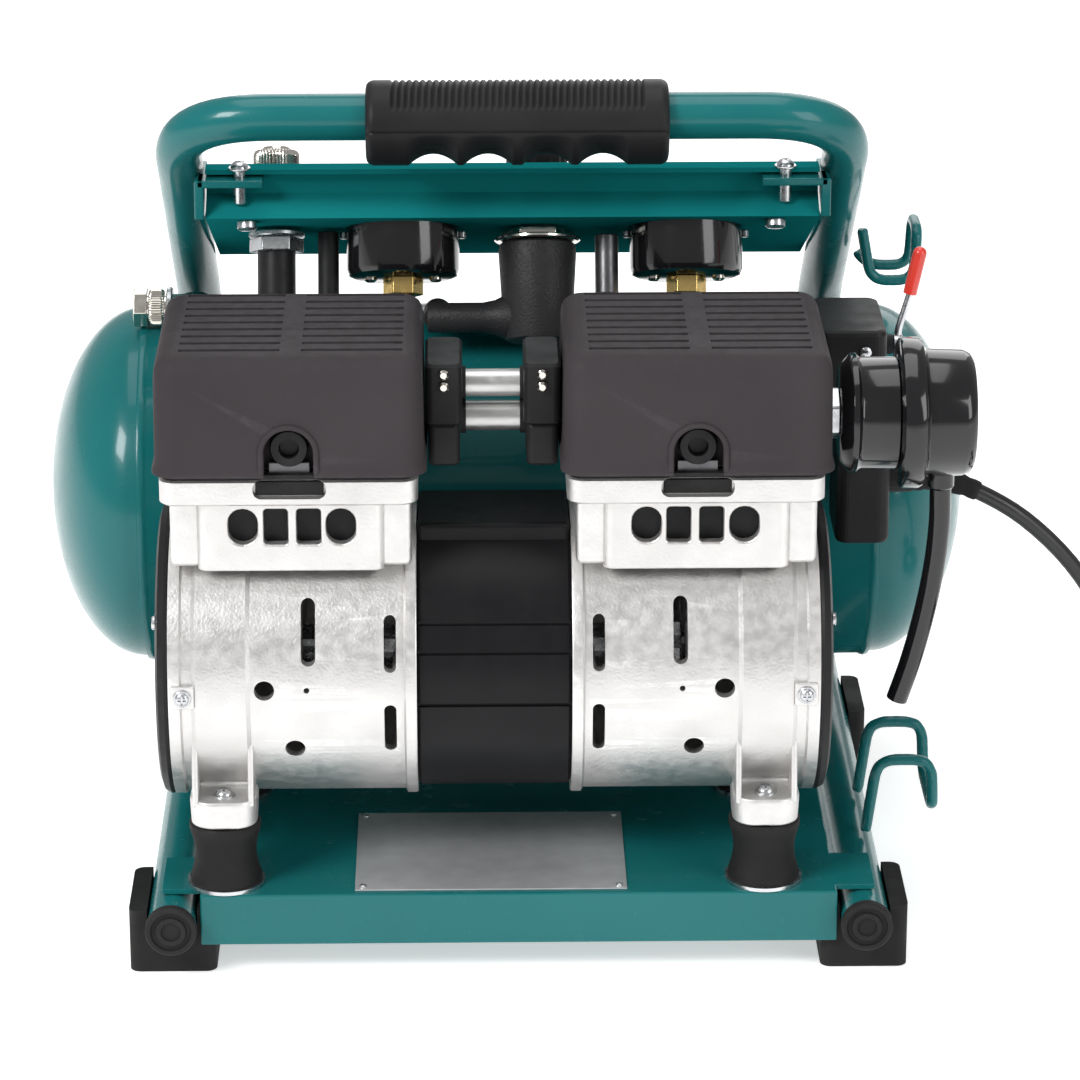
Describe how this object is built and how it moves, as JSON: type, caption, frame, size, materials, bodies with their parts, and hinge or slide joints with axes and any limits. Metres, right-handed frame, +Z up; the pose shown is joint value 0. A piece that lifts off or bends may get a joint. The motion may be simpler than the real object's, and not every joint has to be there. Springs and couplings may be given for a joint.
{
  "type": "air compressor",
  "caption": "Portable oil-free air compressor: paired pump heads on one motor, a small horizontal tank behind, tubular carrying frame, console with gauges, mains lead.",
  "frame": {"origin": "on the floor, in the middle of the footprint of the machine without its lead", "axes": "+X along the motor and tank towards the intake filter, +Y from the pump side to the tank side, +Z up"},
  "size_m": [0.5606, 0.3182, 0.312],
  "materials": {
    "teal_paint": "gloss powder coat over steel",
    "black_plastic": "satin moulded plastic and black-coated metal",
    "black_rubber": "matt rubber",
    "hood_plastic": "fine-grained dark grey moulding",
    "gloss_black": "polished black plastic",
    "cast_aluminium": "bead-blasted die casting",
    "zinc_steel": "zinc-plated or drawn metal",
    "nickel": "bright nickel plate",
    "brass": "machined",
    "motor_black": "satin black paint on laminations",
    "cable_pvc": "soft cable sheath"
  },
  "bodies": {
    "frame": {"frame_tube": "teal_paint", "base_plate": "teal_paint", "cord_hook_upper": "teal_paint", "cord_hook_lower": "teal_paint", "tank_shell": "teal_paint", "tank_saddle_left": "teal_paint", "tank_saddle_right": "teal_paint", "console_panel": "teal_paint", "handle_grip": "black_plastic", "fan_cover_left": "black_plastic", "fan_cover_right": "black_plastic", "manifold_block_left": "black_plastic", "manifold_block_right": "black_plastic", "switch_box": "black_plastic", "gauge_left": "black_plastic", "gauge_right": "black_plastic", "regulator_body": "black_plastic", "left_pipe": "black_plastic", "right_pipe": "black_plastic", "rail_plug_left": "black_rubber", "rail_plug_right": "black_rubber", "foot_pad_front_left": "black_rubber", "foot_pad_front_right": "black_rubber", "foot_pad_rear_left": "black_rubber", "foot_pad_rear_right": "black_rubber", "rubber_mount_front_left": "black_rubber", "rubber_mount_front_right": "black_rubber", "rubber_mount_rear_left": "black_rubber", "rubber_mount_rear_right": "black_rubber", "head_cover_left": "hood_plastic", "head_cover_right": "hood_plastic", "intake_filter_body": "gloss_black", "intake_filter_cap": "gloss_black", "intake_tube": "gloss_black", "crankcase_left": "cast_aluminium", "crankcase_right": "cast_aluminium", "cylinder_head_left": "cast_aluminium", "cylinder_head_right": "cast_aluminium", "cylinder_liner_left": "zinc_steel", "cylinder_liner_right": "zinc_steel", "crossover_tube_upper": "zinc_steel", "crossover_tube_lower": "zinc_steel", "intake_nipple": "zinc_steel", "tank_fitting": "nickel", "panel_coupling_body": "nickel", "motor_stator": "motor_black", "mains_cord": "cable_pvc", "cord_coil": "cable_pvc", "mains_plug": "cable_pvc"},
    "switch_lever": {"switch_lever": "zinc_steel"},
    "regulator_knob": {"regulator_knob": "black_plastic"},
    "panel_sleeve": {"panel_coupling_sleeve": "nickel"},
    "needle_left": {"gauge_needle_left": "black_plastic"},
    "needle_right": {"gauge_needle_right": "black_plastic"},
    "drain_screw": {"drain_valve_screw": "brass"},
    "rotor": {"rotor_shaft": "zinc_steel", "cooling_fan_left": "black_plastic", "cooling_fan_right": "black_plastic"},
    "piston_left": {"piston_rod_left": "cast_aluminium"},
    "piston_right": {"piston_rod_right": "cast_aluminium"}
  },
  "joints": [
    {"name": "switch_lever_turn", "type": "hinge", "parent": "frame", "child": "switch_lever", "pos_m": [0.152, -0.02107, 0.208], "axis": [1, 0, 0], "range_deg": [0, 35]},
    {"name": "regulator_turn", "type": "hinge", "parent": "frame", "child": "regulator_knob", "pos_m": [0.012, 0.04247, 0.25827], "axis": [0, 0.4067, 0.9135], "range_deg": [-540, 540]},
    {"name": "panel_sleeve_slide", "type": "slide", "parent": "frame", "child": "panel_sleeve", "axis": [0, 0.4067, 0.9135], "range_m": [-0.003, 0], "stiffness_N_per_m": 1500, "springref_m": 0.003},
    {"name": "needle_left_turn", "type": "hinge", "parent": "frame", "child": "needle_left", "pos_m": [-0.0417, 0.03596, 0.24365], "axis": [0, 0.4067, 0.9135], "range_deg": [-270, 0], "stiffness_Nm_per_rad": 0.002},
    {"name": "needle_right_turn", "type": "hinge", "parent": "frame", "child": "needle_right", "pos_m": [0.0715, 0.03596, 0.24365], "axis": [0, 0.4067, 0.9135], "range_deg": [-270, 0], "stiffness_Nm_per_rad": 0.002},
    {"name": "drain_screw_turn", "type": "hinge", "parent": "frame", "child": "drain_screw", "pos_m": [0.06, 0.06193, 0.041], "axis": [0, 0, 1], "range_deg": [0, 360]},
    {"name": "rotor_spin", "type": "hinge", "parent": "frame", "child": "rotor", "pos_m": [-0.0069, -0.09257, 0.111], "axis": [1, 0, 0], "continuous": true},
    {"name": "piston_left_slide", "type": "slide", "parent": "frame", "child": "piston_left", "axis": [0, 0, 1], "range_m": [-0.007, 0.007]},
    {"name": "piston_right_slide", "type": "slide", "parent": "frame", "child": "piston_right", "axis": [0, 0, 1], "range_m": [-0.007, 0.007]}
  ]
}
